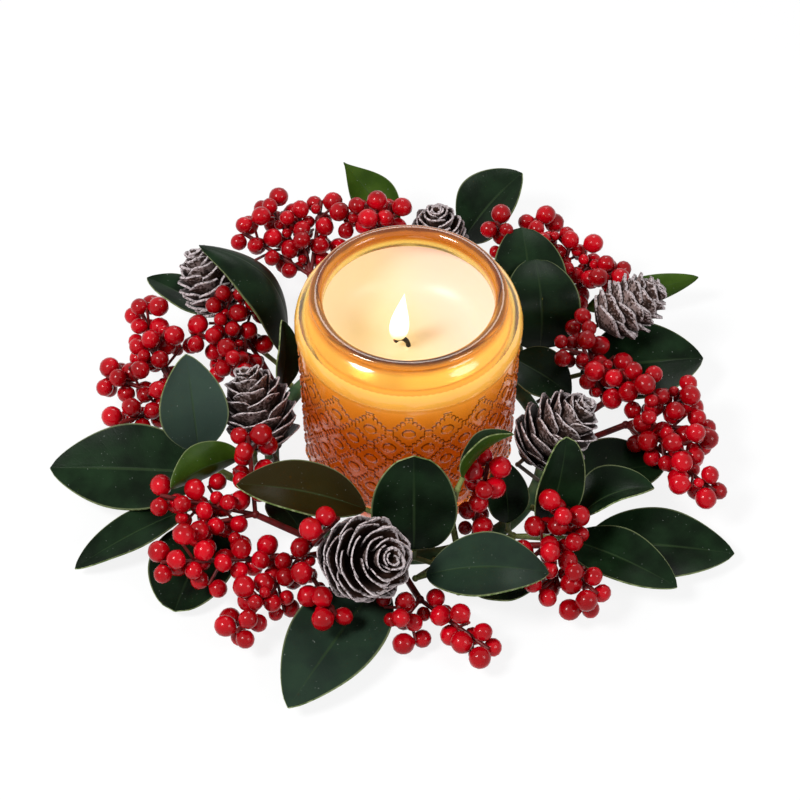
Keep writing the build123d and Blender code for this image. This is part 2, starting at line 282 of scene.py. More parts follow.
# base, tip, width, rise of the arch, roll about the midrib, cup across the blade
leafLayout = {
    "back": (
        ((92, 53, 20), (102, 79, 40), 20, 3, 140, 3),
        ((78, 65, 6), (69, 85, 34), 34, 3, 0, 3),
        ((97, 9, 9), (104, 30, 36), 28, 4, 0, 3),
        ((84, 10, 9), (76, 31, 34), 28, 4, 0, 3),
    ),
    "right_back": (
        ((50, 20, 8), (62, 47, 40), 33, 12, 10, 2),
        ((40, 17, 12), (54, 35, 38), 32, 13, 0, 2),
        ((37, -2, 22), (14, 13, 16), 22, 3, 15, 2),
    ),
    "right": (
        ((42, 47, 13), (33, 93, 20), 13, 2, 228, 3),
        ((24, 23, 12), (17, 73, 16), 38, 3, 10, 3),
    ),
    "right_front": (
        ((-24, 10, 9), (-9, 49, 12), 31, 3, 0, 3),
        ((-36, 26, 18), (-23, 48, 27), 24, 5, -15, 5),
        ((-42, 17, 16), (-32, 15, 54), 19, 3, 40, 3),
    ),
    "front_right": (
        ((-36, 30, 6), (-24.3, 84, 7), 31, 2, 10, 2),
        ((-41, 25, 11), (-37, 73, 12), 25, 3, 0, 2),
        ((-51, 6, 15), (-44, -7, 37), 17, 4, 0, 2),
    ),
    "front": (
        ((-85, 22, 20), (-57, 41, 26), 30, 5, 0, 2),
        ((-88, 4, 13), (-88, -4, 60), 33, 1, 0, 2),
        ((-72, 22, 6), (-56, 31, 5), 18, 2, 0, 2),
    ),
    "jar_side": (
        ((-69, 1, 49), (-48, 3, 63), 15, 3, -45, 5),
    ),
    "front_left": (
        ((-108, -2, 27), (-145, 25, 36), 26, 4, 0, 3),
        ((-99, 14, 5), (-109, 81, 8), 36, 2, 0, 3),
    ),
    "left": (
        ((-157, 15, 31), (-153, 47, 35), 18, 3, 100, 4),
        ((-165, 28, 13), (-172, 89, 14), 38, 2, -15, 2),
        ((-158, 39, 7), (-154, 89, 5), 18, 3, 0, 2),
        ((-152, 34, 4), (-137, 67, 5), 34, 1, 0, 2),
        ((-167, 29.6, 24), (-178, 30.6, 63), 27, 3, 0, 3),
        ((-152, 6, 8), (-131, 7, 6), 16, 2, 0, 2),
    ),
    "left_back": (
        ((139, 53, 6), (142, 88, 12), 17, 2, 0, 2),
        ((140, 12, 12), (143, 52, 55), 34, 16, 30, -7),
        ((163, 0, 17), (150, 3, 48), 14, 3, 60, 2),
    ),
}

leafMake = {
    "cellsAlong": 30,
    "cellsAcross": 14,
    "thickness": 0.55 * mm,
    "stalkShare": 0.06,   # least half width at the stalk and at the tip, as shares
    "tipShare": 0.012,
    "fullness": 0.72,
    "widest": 0.9,
    "crease": 0.45 * mm,
    "creaseWide": 0.16,
    "ripple": 0.4 * mm,
    "rippleTurns": 11,
    "veins": 9.0,
    "veinSlant": 1.6,
    "face": (0.002, 0.006, 0.002),
    "faceLight": (0.008, 0.022, 0.008),
    "back": (0.018, 0.042, 0.003),
    "backLight": (0.04, 0.08, 0.008),
    "edge": (0.24, 0.28, 0.13),
    "rib": (0.03, 0.055, 0.02),
    "dust": (0.25, 0.28, 0.25),
    "brown": (0.02, 0.013, 0.002),
    "greySheen": (0.06, 0.095, 0.078),
}
# browned leaves above 0, greyed ones below; the grey is a painted sheen on front0 and front_left1, and on
# left4 partly a grey-green tone, partly painted sheen
leafTint = {"front_left0": 1.0, "left4": -0.55, "front0": -0.3, "front_left1": -0.3}
# leaves with rounder tips than the rest, or with a more pointed one
leafBlunt = {"front1": 0.42, "left3": 0.5, "right_front2": 0.45, "right_back0": 0.5, "right_back1": 0.5,
             "back0": 1.2}


def leafFinish(name, light, dark, under):
    bench = newBench(name)
    along, across = bench.uv("leafMap")
    fromRib = (across - 0.5).size() * 2
    tint = bench.painted("leafTint")
    mottle = bench.noise(70, 4.0)
    colour = bench.mix(mottle.step(0.3, 0.75), dark, light)
    colour = bench.mix(tint.step(0.0, 1.0) * 0.8, colour, leafMake["brown"])
    # greyed leaves: painted sheen, on left4 mixed with a grey-green tone
    colour = bench.mix((0 - tint).step(0.0, 1.0) * 0.8, colour, leafMake["greySheen"])
    slanted = along * leafMake["veins"] - fromRib * leafMake["veinSlant"]
    vein = 1 - (slanted * math.pi).wave().size().step(0.0, 0.14)
    rib = (1 - fromRib.step(0.01, 0.05)) * (1 - along.step(0.45, 0.95) * 0.7)
    rim = fromRib.step(0.955, 0.99)
    colour = bench.mix(vein * (0.12 if under else 0.02), colour, leafMake["rib"])
    colour = bench.mix(rib * 0.5, colour, leafMake["rib"])
    colour = bench.mix(rim * 0.45, colour, leafMake["edge"])
    colour = bench.mix(bench.noise(1000, 1.0).step(0.75, 0.8) * 0.5, colour, leafMake["dust"])
    grain = bench.noise(1400, 2.0)
    height = vein * -0.07 + rib * (0.9 if under else -0.8) + grain * 0.3
    rough = 0.27 + mottle * 0.14 + rim * 0.1
    return bench.surface(colour=colour, rough=rough, shine=0.06, normal=bench.bump(height, 0.4, 0.0004))


def edgeFinish():
    bench = newBench("leafEdge")
    flecks = bench.noise(500, 2.0)
    colour = bench.mix(flecks.step(0.3, 0.7), leafMake["edge"], leafMake["backLight"])
    return bench.surface(colour=colour, rough=0.55 + flecks * 0.1, shine=0.2)


def leafSpread(share, fullness):
    full = math.sin(math.pi * share ** leafMake["widest"]) ** fullness if 0 < share < 1 else 0
    least = leafMake["stalkShare"] * (1 - share) + leafMake["tipShare"] * share
    return max(least, full)


# a blade keeps to the curve of its solid, so its grid is bent along that curve point by point
def shapeLeaf(piece, leaf, number, fullness):
    base, tip = spot(*leaf[0]), spot(*leaf[1])
    width, rise, cup = leaf[2] * mm, leaf[3] * mm, leaf[5] * mm
    chord = (tip - base).normalized()
    level = math.hypot(chord.x, chord.y)
    face = Vector((-chord.z * chord.x / level, -chord.z * chord.y / level, level))
    face = Matrix.Rotation(math.radians(leaf[4]), 3, chord) @ face
    crest = (base + tip) / 2 + face * 2 * rise
    side = face.cross(chord)
    for vert in piece.data.vertices:
        share, offset = (vert.co.x + 1) / 2, vert.co.y
        middle = base * (1 - share) ** 2 + crest * 2 * share * (1 - share) + tip * share ** 2
        heading = ((crest - base) * (1 - share) + (tip - crest) * share).normalized()
        spread = leafSpread(share, fullness)
        lift = cup * offset ** 2
        lift -= leafMake["crease"] * math.exp(-(offset / leafMake["creaseWide"]) ** 2)
        phase = leafMake["rippleTurns"] * share + 2.1 * number + (1.3 if offset > 0 else 0)
        lift += leafMake["ripple"] * offset ** 2 * math.sin(phase)
        vert.co = middle + side * (offset * spread * width / 2) + heading.cross(side) * lift * spread


def leafSprig(name, leaves, finishes):
    made = []
    for number, leaf in enumerate(leaves):
        clearSelection()
        bpy.ops.mesh.primitive_grid_add(
            x_subdivisions=leafMake["cellsAlong"], y_subdivisions=leafMake["cellsAcross"], size=2)
        piece = takeNew(f"leaf_{name}_{number}")
        piece.data.uv_layers[0].name = "leafMap"
        paint(piece, "leafTint", [leafTint.get(f"{name}{number}", 0.0)] * len(piece.data.vertices))
        shapeLeaf(piece, leaf, number, leafBlunt.get(f"{name}{number}", leafMake["fullness"]))
        setFinish(piece, *finishes)
        finishModifier(piece, "SOLIDIFY", thickness=leafMake["thickness"], offset=0,
                       material_offset=1, material_offset_rim=2)
        smooth(piece, 40)
        made.append(piece)
    settle(joined(made, f"leafBlades_{name}"), "ring", "leaf", f"leaves_{name}")


leafFinishes = (
    leafFinish("leafFace", leafMake["faceLight"], leafMake["face"], False),
    leafFinish("leafBack", leafMake["backLight"], leafMake["back"], True),
    edgeFinish(),
)
for name, leaves in leafLayout.items():
    leafSprig(name, leaves, leafFinishes)
print("leaves done,", sum(len(leaves) for leaves in leafLayout.values()))


# berries: one modelled berry, copied to where each berry of the frame is

berryMake = {
    "segments": 12,
    "rings": 8,
    "pole": 0.99,   # of a ball of radius 1, as are the next two
    "neck": 0.14,
    "flat": 0.05,
    "full": 1.03,
    "uneven": 0.045,
    "red": (0.5, 0.001, 0.008),
    "deep": (0.24, 0.0, 0.002),
}


def berryFinish():
    bench = newBench("berryLacquer")
    blush = bench.noise(60, 2.0)
    fine = bench.noise(500, 2.0)
    colour = bench.mix(blush.step(0.35, 0.7), berryMake["deep"], berryMake["red"])
    return bench.surface(colour=colour, rough=0.14 + fine * 0.1, coat=0.1, coatRough=0.05, shine=0.14,
                         normal=bench.bump(fine, 0.06, 0.0003))


def berryModel(finish):
    clearSelection()
    segments, rings = berryMake["segments"], berryMake["rings"]
    bpy.ops.mesh.primitive_uv_sphere_add(segments=segments, ring_count=rings, radius=1)
    model = takeNew("berryModel")
    edit(model)
    pick(model, lambda co: co.z > berryMake["pole"])   # flat crown
    bpy.ops.transform.translate(value=(0, 0, -berryMake["flat"]))
    pick(model, lambda co: co.z < -berryMake["pole"])   # neck that runs down to the twig
    bpy.ops.transform.translate(value=(0, 0, -berryMake["neck"]))
    clearSelection()
    setFinish(model, finish)
    smooth(model)
    return model


# the points of each loose solid in a node
def islands(node):
    mesh = bmesh.new()
    mesh.from_mesh(nodes[node].data)
    bmesh.ops.remove_doubles(mesh, verts=mesh.verts, dist=1e-6)
    seen, found = set(), []
    for vert in mesh.verts:
        if vert.index in seen:
            continue
        heap, group = [vert], []
        seen.add(vert.index)
        while heap:
            here = heap.pop()
            group.append(here.co.copy())
            for edge in here.link_edges:
                there = edge.other_vert(here)
                if there.index not in seen:
                    seen.add(there.index)
                    heap.append(there)
        found.append(np.array(group))
    mesh.free()
    return found


def berrySpray(name, model):
    twig = nodes["berry_twigs_" + name].data.vertices
    tree = KDTree(len(twig))
    for index, vert in enumerate(twig):
        tree.insert(vert.co, index)
    tree.balance()
    made = []
    for number, points in enumerate(islands("berries_" + name)):
        low, high = points.min(0), points.max(0)
        middle, radius = Vector((low + high) / 2), float((high - low).max()) / 2 * berryMake["full"]
        away = (middle - tree.find(middle)[0]).normalized()
        turn = away.to_track_quat("Z", "Y").to_matrix().to_4x4()
        turn = turn @ Matrix.Rotation(goldenTurn * number, 4, "Z")
        squash = berryMake["uneven"] * math.sin(2.4 * number)
        grow = Matrix.Diagonal((radius * (1 + squash), radius * (1 - squash), radius, 1))
        made.append(copyOf(model, Matrix.Translation(middle) @ turn @ grow))
    settle(joined(made, "berryCluster_" + name), "ring", "berry", "berries_" + name)
    return len(made)


berryMould = berryModel(berryFinish())
berryTotal = 0
for node in sorted(nodes):
    if node.startswith("berries_"):
        berryTotal += berrySpray(node.removeprefix("berries_"), berryMould)
remove(berryMould)
print("berries done,", berryTotal)


# pine cones: one modelled scale, copied up a spiral and wrapped round the cone's axis

# base, tip, size, thickness of a scale
coneLayout = {
    "left_back": ((143, 41, 22), (142, 58, 48), 0.85, 1.1),
    "back": ((82, 43, 12), (83, 45, 40), 0.85, 0.8),
    "right_back": ((29, 35, 30), (27, 60, 42), 0.85, 1.3),
    "right": ((-30, -2.5, 29), (-20, 11, 48), 1.0, 0.5),
    "front": ((-110, 17, 18), (-96, 30, 41), 1.1, 0.5),
    "left": ((-165, 0.6, 20), (-181, 9.6, 54), 1.0, 0.5),
}

coneMake = {
    "length": 37 * mm,
    "radius": 14 * mm,
    "core": 0.5,
    "scales": 34,
    "cells": (4, 8),
    "scaleLong": 12.5 * mm,
    "scaleHalf": 10.4 * mm,
    "spiralHigh": 0.77,   # shares of the cone's length
    "coreHigh": 0.8,
    "coreCuts": (0.15, 0.3, 0.45, 0.6, 0.75, 0.88),
    "flick": 0.8 * mm,
    "lowTilt": 30,
    "highTilt": 82,
    "bulge": 0.35,
    "ragged": 0.07,
    "closest": 2.4 * mm,   # a scale wraps no tighter than this radius
    "wood": (0.012, 0.005, 0.003),
    "woodLight": (0.045, 0.021, 0.015),
    "dust": (0.26, 0.19, 0.18),
    "frost": (0.55, 0.48, 0.49),
}


def coneWood(bench, streak, full):
    return bench.mix(streak.step(0.3, full), coneMake["wood"], coneMake["woodLight"])


def coneInnerFinish():
    bench = newBench("coneScaleInner")
    along, across = bench.uv("scaleMap")
    streak = bench.noise(260, 4.0)
    crumb = bench.noise(800, 4.0)
    rim = along.step(0.72, 1.0) + (across - 0.5).size().step(0.42, 0.5) * along * 0.7
    frost = (rim + (crumb - 0.5) * 2.4).step(0.55, 0.95)
    colour = coneWood(bench, streak, 0.75)
    colour = bench.mix(frost * 0.8, colour, coneMake["frost"])
    return bench.surface(colour=colour, rough=0.45 + frost * 0.35, shine=0.3,
                         normal=bench.bump(streak * 0.5 + crumb * 0.4, 0.6, 0.0005))


def coneOuterFinish():
    bench = newBench("coneScaleOuter")
    along = bench.uv("scaleMap")[0]
    streak = bench.noise(300, 4.0)
    crumb = bench.noise(900, 4.0)
    patch = bench.noise(170, 3.0)
    dusted = (along * 0.5 + (patch - 0.5) * 2.2 + (crumb - 0.5) * 2.6).step(0.2, 0.75)
    rim = (along + (crumb - 0.5) * 0.9).step(0.88, 1.0)
    colour = coneWood(bench, streak, 0.7)
    colour = bench.mix(dusted * 0.9, colour, coneMake["dust"])
    colour = bench.mix(rim * 0.85, colour, coneMake["frost"])
    return bench.surface(colour=colour, rough=0.7 + crumb * 0.2, shine=0.2,
                         normal=bench.bump(streak * 0.4 + crumb * 0.7, 0.8, 0.0006))


def coneRimFinish():
    bench = newBench("coneScaleRim")
    crumb = bench.noise(1200, 4.0)
    colour = bench.mix(crumb.step(0.3, 0.58), coneMake["woodLight"], coneMake["frost"])
    return bench.surface(colour=colour, rough=0.75 + crumb * 0.2, shine=0.2,
                         normal=bench.bump(crumb, 0.7, 0.0006))


def coneCoreFinish():
    bench = newBench("coneCore")
    streak = bench.noise(300, 4.0)
    colour = coneWood(bench, streak, 0.75)
    return bench.surface(colour=colour, rough=0.75 + streak * 0.1, shine=0.2,
                         normal=bench.bump(streak, 0.5, 0.0005))


def coneOutline(share):
    return coneMake["radius"] * math.sin(math.pi * (0.14 + 0.76 * min(1, share) ** 0.85)) ** 0.6


def scaleModel(*finishes):
    clearSelection()
    bpy.ops.mesh.primitive_grid_add(
        x_subdivisions=coneMake["cells"][0], y_subdivisions=coneMake["cells"][1], size=2)
    model = takeNew("scaleModel")
    model.data.uv_layers[0].name = "scaleMap"
    setFinish(model, *finishes)
    return model


def wrapScale(piece, number):
    share = number / (coneMake["scales"] - 1)
    low, high = coneMake["lowTilt"], coneMake["highTilt"]
    tilt = math.radians(low + (high - low) * share)
    long = coneMake["scaleLong"] * (1 - 0.35 * share ** 2) * (1 + 0.06 * math.sin(5.1 * number))
    half = coneMake["scaleHalf"] * (1 - 0.4 * share)
    foot = coneMake["length"] * coneMake["spiralHigh"] * share
    outer = coneOutline((foot + long * math.sin(tilt)) / coneMake["length"]) * (1 - 0.8 * share ** 6)
    inner = outer - long * math.cos(tilt)
    turn = goldenTurn * number + 0.12 * math.sin(3.3 * number)
    for vert in piece.data.vertices:
        along, across = (vert.co.x + 1) / 2, vert.co.y
        reach = along * (1 - 0.2 * across ** 2 * along ** 2)
        reach *= 1 + coneMake["ragged"] * along ** 3 * math.sin(4.5 * across + 1.7 * number)
        bowed = reach + coneMake["bulge"] * reach * (1 - reach)
        radial = inner + (outer - inner) * bowed + coneMake["flick"] * reach ** 6
        fan = 0.5 + 0.5 * math.sin(math.pi * (0.1 + 0.5 * along))
        angle = turn + across * half * fan / max(radial, coneMake["closest"])
        vert.co = (radial * math.cos(angle), radial * math.sin(angle), foot + reach * long * math.sin(tilt))


def coneCore(finish):
    clearSelection()
    bpy.ops.mesh.primitive_cylinder_add(vertices=20, radius=1, depth=1, location=(0, 0, 0.5))
    core = takeNew("coneCore")
    bpy.ops.object.transform_apply(location=True)
    edit(core)
    for height in coneMake["coreCuts"]:
        bpy.ops.mesh.select_all(action="SELECT")
        bpy.ops.mesh.bisect(plane_co=(0, 0, height), plane_no=(0, 0, 1))
    clearSelection()
    for vert in core.data.vertices:
        reach = coneMake["core"] * coneOutline(vert.co.z) * (1 - 0.6 * vert.co.z ** 3)
        height = vert.co.z * coneMake["coreHigh"] * coneMake["length"]
        vert.co = (vert.co.x * reach, vert.co.y * reach, height)
    setFinish(core, finish)
    smooth(core, 60)
    return core


def pineCone(name, model, core):
    low, high, size, thick = coneLayout[name]
    base, tip = spot(*low), spot(*high)
    turn = (tip - base).to_track_quat("Z", "Y").to_matrix().to_4x4()
    stand = Matrix.Translation(base) @ turn @ Matrix.Scale(size, 4)
    made = []
    for number in range(coneMake["scales"]):
        piece = copyOf(model, Matrix.Identity(4))
        wrapScale(piece, number)
        made.append(piece)
    scales = joined(made, "frostedCone_" + name)
    finishModifier(scales, "SOLIDIFY", thickness=thick * mm, offset=-1,
                   material_offset=1, material_offset_rim=2)
    smooth(scales, 50)
    scales = joined([scales, copyOf(core, Matrix.Identity(4))], "frostedCone_" + name)
    scales.data.transform(stand)
    settle(scales, "ring", "pine_cone", "pine_cone_" + name)


scaleMould = scaleModel(coneInnerFinish(), coneOuterFinish(), coneRimFinish())
coreMould = coneCore(coneCoreFinish())
for name in coneLayout:
    pineCone(name, scaleMould, coreMould)
remove(scaleMould)
remove(coreMould)
print("pine cones done")


# candle jar, wax, wick and flame

jarMake = {
    "turns": 480,
    "bodyLow": 9 * mm,
    "bodyHigh": 72 * mm,
    "bodyReach": (41.65, 42.7),   # radius at its foot and at its top
    "row": 0.6 * mm,
    "reliefHigh": 71.2 * mm,
    "reliefReach": 42.2 * mm,
    "wallReach": 41 * mm,   # between the bore and the outside
    "diamonds": 18,
    "diamondTall": 17.5 * mm,
    "ribBeads": 5,
    "beadRadius": 0.95 * mm,
    "beadLift": 0.75 * mm,
    "bossRadius": 2.6 * mm,
    "bossLift": 0.8 * mm,
    "amber": (0.82, 0.19, 0.005),
    "beadShade": (0.03, 0.004, 0.0),
    "litShoulder": (0.99, 0.73, 0.13),
    "shoulderShade": (0.45, 0.1, 0.003),
    "lip": (0.75, 0.24, 0.012),
    "lipDark": (0.17, 0.034, 0.001),
    "thick": (0.6, 0.17, 0.006),   # the lip is harder to see through
    "thickDark": (0.13, 0.025, 0.001),
    "thickShare": 0.3,
    "litShoulderFrom": (70 * mm, 92 * mm),   # heights and, for the streak, radii between which a colour comes in
    "lineLow": (72.8 * mm, 73.6 * mm),
    "lineHigh": (74.6 * mm, 75.6 * mm),
    "lipFrom": (89.2 * mm, 90.8 * mm),
    "streakInner": (33.6 * mm, 34.6 * mm),
    "streakOuter": (36.6 * mm, 38 * mm),
    "outside": ((0, 0.6), (33, 0.6), (34, 0), (36.5, 0.2), (39, 1.6), (40.8, 4), (41.6, 7)),
    "band": ((42.75, 73), (42.5, 74), (42.6, 74.8), (43.6, 75.6), (44, 77), (43.9, 80), (43.3, 83),
             (42.2, 86), (40.4, 88.4), (38.4, 89.9), (37.4, 90.6), (37.3, 91.1), (37.8, 91.8), (38.0, 92.5),
             (37.6, 93.4), (36.6, 94), (35.2, 93.95), (33.9, 93.4), (33.1, 92.5), (32.8, 91.4)),
    "inside": ((32.8, 89.5), (32.8, 87), (33.3, 85.9), (35.4, 84.2), (37.3, 82.8), (38.2, 81.6), (38.3, 78),
               (38.3, 50), (38.3, 12), (37.6, 8), (35.5, 6.2), (0, 6)),
}


def profilePiece(name, points, turns):
    clearSelection()
    bpy.ops.mesh.primitive_plane_add(size=1)
    piece = takeNew(name)
    edit(piece)
    bpy.ops.mesh.select_all(action="SELECT")
    bpy.ops.mesh.merge(type="CENTER")
    bpy.ops.transform.translate(value=(points[0][0] * mm, 0, points[0][1] * mm))
    for (wasOut, wasUp), (out, up) in zip(points, points[1:]):
        move = ((out - wasOut) * mm, 0, (up - wasUp) * mm)
        bpy.ops.mesh.extrude_region_move(TRANSFORM_OT_translate={"value": move})
    bpy.ops.mesh.select_all(action="SELECT")
    bpy.ops.mesh.spin(steps=turns, angle=math.tau, center=(0, 0, 0), axis=(0, 0, 1))
    bpy.ops.mesh.select_all(action="SELECT")
    bpy.ops.mesh.remove_doubles(threshold=1e-6)
    bpy.ops.mesh.normals_make_consistent(inside=False)
    clearSelection()
    return piece


def bead(far, radius, lift):
    return lift * math.sqrt(1 - (far / radius) ** 2) if far < radius else 0.0


# diamonds of small beads, each with a boss in the middle
def pressedLift(angle, up):
    wide, tall = math.tau * jarMake["reliefReach"] / jarMake["diamonds"], jarMake["diamondTall"]
    column, row = angle / math.tau * jarMake["diamonds"], (up - jarMake["bodyLow"]) / tall
    side = math.hypot(wide, tall) / 2
    lift = 0.0
    for across, along in ((column + row, column - row), (column - row, column + row)):
        off = abs(across - round(across)) * wide * tall / math.hypot(wide, tall)
        step = along * jarMake["ribBeads"]
        slip = (step - math.floor(step) - 0.5) / jarMake["ribBeads"] * side
        lift = max(lift, bead(math.hypot(off, slip), jarMake["beadRadius"], jarMake["beadLift"]))
    first, second = (column + row) % 1 - 0.5, (column - row) % 1 - 0.5
    over, rise = (first + second) / 2 * wide, (first - second) / 2 * tall
    if up - rise > jarMake["reliefHigh"] - jarMake["bossRadius"]:   # no boss where the band cuts a diamond
        return lift
    return max(lift, bead(math.hypot(over, rise), jarMake["bossRadius"], jarMake["bossLift"]))


def glassFinish():
    bench = newBench("amberGlass")
    side, depth, up = bench.split(bench.place())
    ripple = bench.noise(60, 2.0)
    relief = bench.painted("relief")
    # painted shade: the glass darkens round the foot of each bead, where the relief would be shaded
    crease = relief.step(0.0, 0.25) * (1 - relief.step(0.35, 0.75))   # dark round the foot of each bead
    # painted shade: a faint dark band in the groove under the shoulder
    shoulderShade = up.step(*jarMake["lineLow"]) * (1 - up.step(*jarMake["lineHigh"]))   # groove under the shoulder
    colour = bench.mix(crease, jarMake["amber"], jarMake["beadShade"])
    # painted light: the glass turns a paler honey up the shoulder, standing for candle glow and a highlight
    # band
    colour = bench.mix((up + ripple * 0.002).step(*jarMake["litShoulderFrom"]), colour, jarMake["litShoulder"])
    colour = bench.mix(shoulderShade * 0.4, colour, jarMake["shoulderShade"])
    lip = up.step(*jarMake["lipFrom"])
    reach = (side * side + depth * depth) ** 0.5 + (ripple - 0.5) * 0.003
    inner, outer = jarMake["streakInner"], jarMake["streakOuter"]
    streak = reach.step(*inner) * (1 - reach.step(*outer))   # dark along the top of the lip
    colour = bench.mix(lip, colour, bench.mix(streak, jarMake["lip"], jarMake["lipDark"]))
    rough = 0.03 + ripple * 0.04 + (1 - lip) * 0.09
    clear = bench.shader(colour=colour, rough=rough, through=1.0, index=1.5,
                         normal=bench.bump(ripple, 0.1, 0.001))
    dense = bench.mix(streak, jarMake["thick"], jarMake["thickDark"])
    thick = bench.shader(colour=dense, rough=0.12, shine=0.2)
    return bench.output(bench.blended(lip * jarMake["thickShare"], clear, thick))


def candleJar():
    low, high = jarMake["bodyLow"], jarMake["bodyHigh"]
    rows = int((high - low) / jarMake["row"])
    foot, top = jarMake["bodyReach"]
    body = []
    for row in range(rows + 1):
        share = row / rows
        body.append((foot + (top - foot) * share, (low + (high - low) * share) / mm))
    points = [*jarMake["outside"], *body, *jarMake["band"], *jarMake["inside"]]
    jar = profilePiece("amberJar", points, jarMake["turns"])
    relief = []
    for vert in jar.data.vertices:
        reach = math.hypot(vert.co.x, vert.co.y)
        lift = 0.0
        if reach > jarMake["wallReach"] and low < vert.co.z < jarMake["reliefHigh"]:
            lift = pressedLift(math.atan2(vert.co.y, vert.co.x), vert.co.z)
            vert.co.x *= 1 + lift / reach
            vert.co.y *= 1 + lift / reach
        relief.append(lift / jarMake["beadLift"])
    paint(jar, "relief", relief)
    setFinish(jar, glassFinish())
    smooth(jar)
    settle(jar, "candle", "jar_glass", "candle_jar")


waxMake = {
    "turns": 96,
    "cream": (0.48, 0.39, 0.27),
    "creamEdge": (0.47, 0.37, 0.26),
    # painted light: the wax glows as if the flame lit it from within; the paler right tone is a painted
    # lamp reflection, and the front glows deeper to offset the lamp light that falls there
    "poolGlow": (0.42, 0.29, 0.1),
    "edgeGlow": (0.55, 0.4, 0.2),
    "frontGlow": (0.46, 0.26, 0.03),
    "sideGlow": (0.55, 0.37, 0.31),
    "wallShade": (0.36, 0.22, 0.08),
    "lowGlow": (0.24, 0.07, 0.006),
    "highGlow": (0.95, 0.78, 0.36),
    "rimFrom": (18 * mm, 41 * mm),   # radii between which a colour comes in
    "shellFrom": (37.6 * mm, 38.2 * mm),
    "poolTo": (6 * mm, 34 * mm),
    "frontFrom": (4 * mm, 28 * mm),   # the same in front of the wick, to its right and up the wall
    "sideFrom": (-2 * mm, 30 * mm),
    "wallFrom": (50 * mm, 96 * mm),
    "points": ((0, 6.1), (35.4, 6.3), (37.5, 8.1), (38.36, 12), (38.36, 50), (38.36, 79), (38.1, 81.3),
               (37.5, 82), (37.1, 81.4), (36.6, 78), (35.6, 73.5), (33.5, 69.3), (30.5, 66.2), (27, 64.4),
               (23, 63.6), (16, 63.45), (8, 63.4), (3, 63.6), (1.4, 64.2), (1.0, 64.6), (0, 64.7)),
}


def waxFinish():
    bench = newBench("candleWax")
    side, depth, up = bench.split(bench.place())
    reach = (side * side + depth * depth) ** 0.5
    cloud = bench.noise(45, 3.0)
    rim = (reach + cloud * 0.006).step(*waxMake["rimFrom"])
    shell = reach.step(*waxMake["shellFrom"])   # 1 on the wall that stands against the glass
    colour = bench.mix(rim, waxMake["cream"], waxMake["creamEdge"])
    colour = bench.mix(shell, colour, waxMake["wallShade"])
    # painted light: glow of the pool, deeper in front of the wick and paler to its right
    top = bench.mix(reach.step(*waxMake["poolTo"]), waxMake["poolGlow"], waxMake["edgeGlow"])
    top = bench.mix((0 - depth).step(*waxMake["frontFrom"]), top, waxMake["frontGlow"])
    top = bench.mix((side + depth * 0.5).step(*waxMake["sideFrom"]), top, waxMake["sideGlow"])
    # painted light: glow up the wall, stronger toward the top
    rise = (up + cloud * 0.01).step(*waxMake["wallFrom"])
    wall = bench.mix(rise, waxMake["lowGlow"], waxMake["highGlow"])
    glow = bench.mix(shell, top, wall)
    return bench.surface(colour=colour, rough=0.3 + cloud * 0.12, glow=glow, glowPower=1.0, shine=0.3,
                         soak=0.3, soakScale=0.004, soakReach=(1.0, 0.6, 0.3),
                         normal=bench.bump(cloud, 0.05, 0.001))


def candleWax():
    wax = profilePiece("ivoryWax", waxMake["points"], waxMake["turns"])
    setFinish(wax, waxFinish())
    smooth(wax)
    settle(wax, "candle", "wax", "candle_wax")


wickMake = {
    "radius": 0.95 * mm,
    "sides": 3,
    "steps": 8,
    "braidUp": 3200,
    "braidSide": 3000,
    "points": ((0, 0, 8), (0, 0, 40), (0, 0, 63), (-0.1, 0, 65.6), (-0.9, 0, 67.9), (-2.6, 0, 69.0),
               (-4.2, 0, 68.6), (-5.2, 0, 67.3)),
    "char": (0.012, 0.01, 0.009),
    "cotton": (0.5, 0.4, 0.26),
    "ember": (1.0, 0.22, 0.03),
}


def wickFinish():
    bench = newBench("braidedWick")
    side, up = bench.split(bench.place())[::2]
    braid = ((up * wickMake["braidUp"]).wave() + (side * wickMake["braidSide"]).wave()) * 0.5
    fray = bench.noise(900, 3.0)
    burnt = (up + fray * 0.0015).step(0.0635, 0.0655)
    colour = bench.mix(burnt, wickMake["cotton"], wickMake["char"])
    ember = (0 - side).step(0.0046, 0.0058) * fray.step(0.4, 0.7)
    glow = bench.mix(ember, (0, 0, 0), wickMake["ember"])
    return bench.surface(colour=colour, rough=0.9 - burnt * 0.1, glow=glow, glowPower=0.6,
                         normal=bench.bump(braid + fray, 0.8, 0.0003))


def candleWick():
    route = bpy.data.curves.new("burntWick", "CURVE")
    route.dimensions = "3D"
    spline = route.splines.new("NURBS")
    spline.points.add(len(wickMake["points"]) - 1)
    for knot, point in zip(spline.points, wickMake["points"]):
        knot.co = (*(Vector(point) * mm), 1)
    spline.order_u, spline.use_endpoint_u = 3, True
    route.resolution_u, route.bevel_resolution = wickMake["steps"], wickMake["sides"]
    route.bevel_depth, route.use_fill_caps = wickMake["radius"], True
    selectOnly(linked("burntWick", route, (0, 0, 0)))
    bpy.ops.object.convert(target="MESH")
    wick = takeNew("burntWick")
    setFinish(wick, wickFinish())
    smooth(wick, 60)
    settle(wick, "candle", "wick", "wick")


flameMake = {
    "segments": 24,
    "rings": 24,
    "low": 69.0 * mm,
    "high": 93.8 * mm,
    "radius": 3.8 * mm,
    "footSide": -4.0 * mm,
    "tipSide": -1.6 * mm,
    "core": (1.0, 0.95, 0.82),
    "foot": (1.0, 0.62, 0.16),
    "power": 2.2,
}


def flameFinish():
    bench = newBench("candleFlame")
    up = bench.uv("flameMap")[1]
    glow = bench.mix(up.step(0.1, 0.42), flameMake["foot"], flameMake["core"])
    return bench.surface(colour=(0, 0, 0), rough=1.0, shine=0.0, glow=glow, glowPower=flameMake["power"],
                         alpha=up.step(0.0, 0.34) * 0.5 + 0.15)


